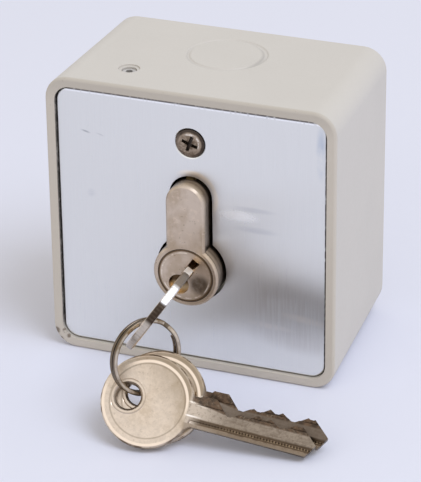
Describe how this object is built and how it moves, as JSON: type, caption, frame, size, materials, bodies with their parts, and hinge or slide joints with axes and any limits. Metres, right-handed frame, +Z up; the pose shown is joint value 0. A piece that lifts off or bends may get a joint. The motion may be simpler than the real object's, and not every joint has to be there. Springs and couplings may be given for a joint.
{
  "type": "selector key switch",
  "caption": "Surface box with a brushed front plate, a half-cylinder key lock with its key turned clockwise, two microswitches behind it and two spare keys on a split ring.",
  "frame": {"origin": "centre of the housing back face, which lies against the wall", "axes": "+Z up, +X to the right seen from the front, +Y from the front towards the wall; the lock and key face -Y"},
  "size_m": [0.0826, 0.0882, 0.075],
  "materials": {
    "housing_moulding": "warm light grey ABS moulding with a fine even texture",
    "brushed_plate": "thin sheet brushed with an upright grain",
    "seal_rubber": "flat black sealing strip",
    "dark_steel": "darkened steel, satin",
    "carrier_moulding": "dark grey moulding",
    "bright_steel": "zinc-plated or spring steel",
    "satin_nickel": "satin nickel plating over brass, with warm tints",
    "pin_brass": "turned brass",
    "tinned_brass": "tin-flashed brass tabs",
    "switch_case_plastic": "black thermoset case",
    "switch_button_plastic": "dark red plunger",
    "key_metal": "nickel silver, worn"
  },
  "bodies": {
    "box": {"carrier_screw_1": "bright_steel", "carrier_screw_2": "bright_steel", "carrier_screw_3": "bright_steel", "carrier_screw_4": "bright_steel", "chamber_plug_1": "pin_brass", "chamber_plug_2": "pin_brass", "chamber_plug_3": "pin_brass", "chamber_plug_4": "pin_brass", "cylinder_body": "satin_nickel", "cylinder_screw": "bright_steel", "driver_pin_1": "pin_brass", "driver_pin_2": "pin_brass", "driver_pin_3": "pin_brass", "driver_pin_4": "pin_brass", "front_plate": "brushed_plate", "housing": "housing_moulding", "pin_spring_1": "bright_steel", "pin_spring_2": "bright_steel", "pin_spring_3": "bright_steel", "pin_spring_4": "bright_steel", "plate_screw": "dark_steel", "plate_seal": "seal_rubber", "switch_carrier": "carrier_moulding", "switch_case_left": "switch_case_plastic", "switch_case_right": "switch_case_plastic", "switch_screw_left_1": "bright_steel", "switch_screw_left_2": "bright_steel", "switch_screw_right_1": "bright_steel", "switch_screw_right_2": "bright_steel", "switch_terminal_left_1": "tinned_brass", "switch_terminal_left_2": "tinned_brass", "switch_terminal_left_3": "tinned_brass", "switch_terminal_right_1": "tinned_brass", "switch_terminal_right_2": "tinned_brass", "switch_terminal_right_3": "tinned_brass", "top_grub_screw": "dark_steel"},
    "plug_and_cam": {"cam": "bright_steel", "key_pin_1": "pin_brass", "key_pin_2": "pin_brass", "key_pin_3": "pin_brass", "key_pin_4": "pin_brass", "plug": "satin_nickel", "plug_clip": "dark_steel"},
    "lock_key": {"key_1": "key_metal"},
    "ring": {"key_ring": "key_metal"},
    "front_spare_key": {"key_2": "key_metal"},
    "rear_spare_key": {"key_3": "key_metal"},
    "left_lever": {"switch_lever_left": "bright_steel"},
    "right_lever": {"switch_lever_right": "bright_steel"},
    "left_button": {"switch_button_left": "switch_button_plastic"},
    "right_button": {"switch_button_right": "switch_button_plastic"}
  },
  "joints": [
    {"name": "plug_turn", "type": "hinge", "parent": "box", "child": "plug_and_cam", "pos_m": [0, 0, -0.0096], "axis": [0, 1, 0], "range_deg": [-68.2, 0]},
    {"name": "key_slide", "type": "slide", "parent": "plug_and_cam", "child": "lock_key", "axis": [0, -1, 0], "range_m": [0, 0.03]},
    {"name": "ring_swing", "type": "hinge", "parent": "lock_key", "child": "ring", "pos_m": [0, -0.0724, -0.0096], "axis": [0.8281, 0, -0.5606], "range_deg": [-45, 35]},
    {"name": "key_2_swing", "type": "hinge", "parent": "ring", "child": "front_spare_key", "pos_m": [-0.00283, -0.08042, -0.02695], "axis": [0.1634, -0.7393, 0.6533], "range_deg": [-75, 8]},
    {"name": "key_3_swing", "type": "hinge", "parent": "ring", "child": "rear_spare_key", "pos_m": [-0.00101, -0.07736, -0.02735], "axis": [0.1634, -0.7393, 0.6533], "range_deg": [-75, 4]},
    {"name": "left_lever_turn", "type": "hinge", "parent": "box", "child": "left_lever", "pos_m": [-0.01068, 0, -0.008], "axis": [0, 1, 0], "range_deg": [-10, 0]},
    {"name": "left_button_slide", "type": "slide", "parent": "box", "child": "left_button", "axis": [1, 0, 0], "range_m": [0, 0.001]},
    {"name": "right_lever_turn", "type": "hinge", "parent": "box", "child": "right_lever", "pos_m": [0.01068, 0, -0.008], "axis": [0, 1, 0], "range_deg": [-10, 0]},
    {"name": "right_button_slide", "type": "slide", "parent": "box", "child": "right_button", "axis": [1, 0, 0], "range_m": [0, 0.001]}
  ],
  "couplings": [
    {"joint": "left_lever_turn", "follows": "plug_turn", "ratio": 0.14663},
    {"joint": "left_button_slide", "follows": "plug_turn", "m_per_rad": -0.00084011},
    {"joint": "right_lever_turn", "follows": "plug_turn", "ratio": 0.14663},
    {"joint": "right_button_slide", "follows": "plug_turn", "m_per_rad": -0.00084011}
  ]
}
